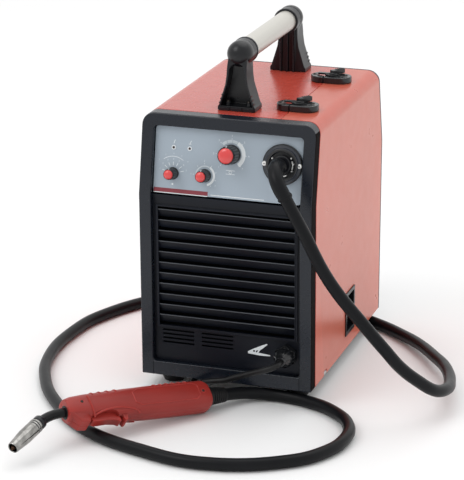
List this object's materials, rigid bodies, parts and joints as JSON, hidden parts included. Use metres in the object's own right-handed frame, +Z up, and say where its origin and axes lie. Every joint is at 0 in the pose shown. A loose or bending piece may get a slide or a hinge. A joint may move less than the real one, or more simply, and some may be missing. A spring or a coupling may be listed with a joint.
{
  "type": "wire-feed welding machine",
  "caption": "Compact wire-feed welding machine: boxy case with carrying handle, louvred front, leaning control panel, side door, torch on a flexible cable and an earth lead.",
  "frame": {"origin": "on the floor, under the middle of the machine's own box (case, feet, handle, knobs and rear fittings), the torch and the leads left out", "axes": "+Z up, the control panel and louvred front face -Y, +X is the door side, to the right seen from the front"},
  "size_m": [0.5689, 0.8085, 0.458],
  "materials": {
    "cover_red": "fine hammered enamel, semi-gloss",
    "plastic_black": "fine moulded texture",
    "grille_dark": "fine moulded texture",
    "panel_grey": "satin printed film",
    "knob_black": "satin",
    "handle_satin": "satin champagne anodising",
    "rubber_black": "matt rubber",
    "torch_red": "satin moulded",
    "nozzle_chrome": "polished",
    "tip_copper": "machined copper",
    "clamp_brass": "pressed, satin",
    "steel_bare": "machined",
    "zinc_sheet": "zinc plated sheet",
    "board_green": "circuit board",
    "heatsink_aluminium": "extruded",
    "spool_plastic": "moulded",
    "wire_copper": "copper coated steel wire"
  },
  "bodies": {
    "machine": {"top_cover": "cover_red", "front_bezel": "plastic_black", "rear_panel": "plastic_black", "handle_bracket_front": "plastic_black", "handle_bracket_rear": "plastic_black", "latch_keeper_front": "plastic_black", "latch_keeper_rear": "plastic_black", "torch_flange": "plastic_black", "torch_connector": "plastic_black", "spool_hub": "plastic_black", "fan_frame": "plastic_black", "mains_gland": "plastic_black", "swan_neck": "plastic_black", "earth_gland": "plastic_black", "front_grille": "grille_dark", "control_panel": "panel_grey", "handle_tube": "handle_satin", "foot_front_left": "rubber_black", "foot_front_right": "rubber_black", "foot_rear_left": "rubber_black", "foot_rear_right": "rubber_black", "torch_boot": "rubber_black", "cable_sleeve": "rubber_black", "torch_cable": "rubber_black", "earth_cable": "rubber_black", "earth_coil": "rubber_black", "earth_cable_tail": "rubber_black", "torch_shell_left": "torch_red", "torch_shell_right": "torch_red", "gas_nozzle": "nozzle_chrome", "contact_tip": "tip_copper", "clamp_jaw_fixed": "clamp_brass", "gas_inlet": "clamp_brass", "feed_motor": "steel_bare", "transformer": "steel_bare", "base_pan": "zinc_sheet", "divider_panel": "zinc_sheet", "feeder_plate": "zinc_sheet", "control_board": "board_green", "power_board": "board_green", "heatsink": "heatsink_aluminium"},
    "door": {"side_door": "cover_red", "door_pull": "plastic_black", "latch_base_front": "plastic_black", "latch_base_rear": "plastic_black"},
    "latch_front": {"latch_lever_front": "plastic_black"},
    "latch_rear": {"latch_lever_rear": "plastic_black"},
    "spool": {"wire_spool": "spool_plastic", "wire_winding": "wire_copper"},
    "feed_roll": {"drive_roll": "steel_bare"},
    "roll_arm": {"pressure_arm": "plastic_black"},
    "arm_roll": {"pressure_roll": "steel_bare"},
    "tension": {"tension_knob": "plastic_black"},
    "dial_voltage": {"knob_voltage": "knob_black"},
    "dial_wire_speed": {"knob_wire_speed": "knob_black"},
    "dial_mode": {"knob_mode": "knob_black"},
    "trigger": {"torch_trigger": "torch_red"},
    "fan": {"fan_rotor": "plastic_black"},
    "switch": {"power_switch": "plastic_black"},
    "clamp": {"clamp_jaw_moving": "clamp_brass"}
  },
  "joints": [
    {"name": "side_door_hinge", "type": "hinge", "parent": "machine", "child": "door", "pos_m": [0.1126, 0, 0.0224], "axis": [0, 1, 0], "range_deg": [0, 75]},
    {"name": "front_latch_turn", "type": "hinge", "parent": "door", "child": "latch_front", "pos_m": [0.0695, -0.085, 0.3785], "axis": [0, 0, 1], "range_deg": [0, 90]},
    {"name": "rear_latch_turn", "type": "hinge", "parent": "door", "child": "latch_rear", "pos_m": [0.0695, 0.07, 0.3785], "axis": [0, 0, 1], "range_deg": [0, 90]},
    {"name": "spool_spin", "type": "hinge", "parent": "machine", "child": "spool", "pos_m": [0.049, 0.05, 0.14], "axis": [1, 0, 0], "continuous": true},
    {"name": "drive_roll_spin", "type": "hinge", "parent": "machine", "child": "feed_roll", "pos_m": [0.0724, -0.085, 0.2898], "axis": [1, 0, 0], "continuous": true},
    {"name": "pressure_arm_lift", "type": "hinge", "parent": "machine", "child": "roll_arm", "pos_m": [0.0724, -0.056, 0.322], "axis": [-1, 0, 0], "range_deg": [0, 25]},
    {"name": "pressure_roll_spin", "type": "hinge", "parent": "roll_arm", "child": "arm_roll", "pos_m": [0.0724, -0.085, 0.3146], "axis": [1, 0, 0], "continuous": true},
    {"name": "tension_knob_turn", "type": "hinge", "parent": "roll_arm", "child": "tension", "pos_m": [0.0724, -0.103, 0.338], "axis": [0, 0, 1], "range_deg": [-180, 180]},
    {"name": "voltage_knob_turn", "type": "hinge", "parent": "machine", "child": "dial_voltage", "pos_m": [0.0035, -0.15496, 0.32404], "axis": [0, 0.9854, -0.1705], "range_deg": [-140, 140]},
    {"name": "wire_speed_knob_turn", "type": "hinge", "parent": "machine", "child": "dial_wire_speed", "pos_m": [-0.0728, -0.16019, 0.29379], "axis": [0, 0.9854, -0.1705], "range_deg": [-140, 140]},
    {"name": "mode_knob_turn", "type": "hinge", "parent": "machine", "child": "dial_mode", "pos_m": [-0.03, -0.16005, 0.29457], "axis": [0, 0.9854, -0.1705], "range_deg": [-60, 60]},
    {"name": "torch_trigger_press", "type": "hinge", "parent": "machine", "child": "trigger", "pos_m": [-0.11062, -0.35838, 0.03145], "axis": [0.5087, -0.3076, 0.8041], "range_deg": [0, 6], "stiffness_Nm_per_rad": 0.3, "springref_deg": -11.46},
    {"name": "fan_spin", "type": "hinge", "parent": "machine", "child": "fan", "pos_m": [-0.06, 0.155, 0.15], "axis": [0, 1, 0], "continuous": true},
    {"name": "power_switch_rock", "type": "hinge", "parent": "machine", "child": "switch", "pos_m": [0.06, 0.168, 0.235], "axis": [1, 0, 0], "range_deg": [0, 16]},
    {"name": "earth_clamp_open", "type": "hinge", "parent": "machine", "child": "clamp", "pos_m": [-0.212, 0.3035, 0.011], "axis": [0, 0, 1], "range_deg": [0, 25], "stiffness_Nm_per_rad": 1.5, "springref_deg": -11.46}
  ],
  "couplings": [
    {"joint": "pressure_roll_spin", "follows": "drive_roll_spin", "ratio": -1.4}
  ]
}
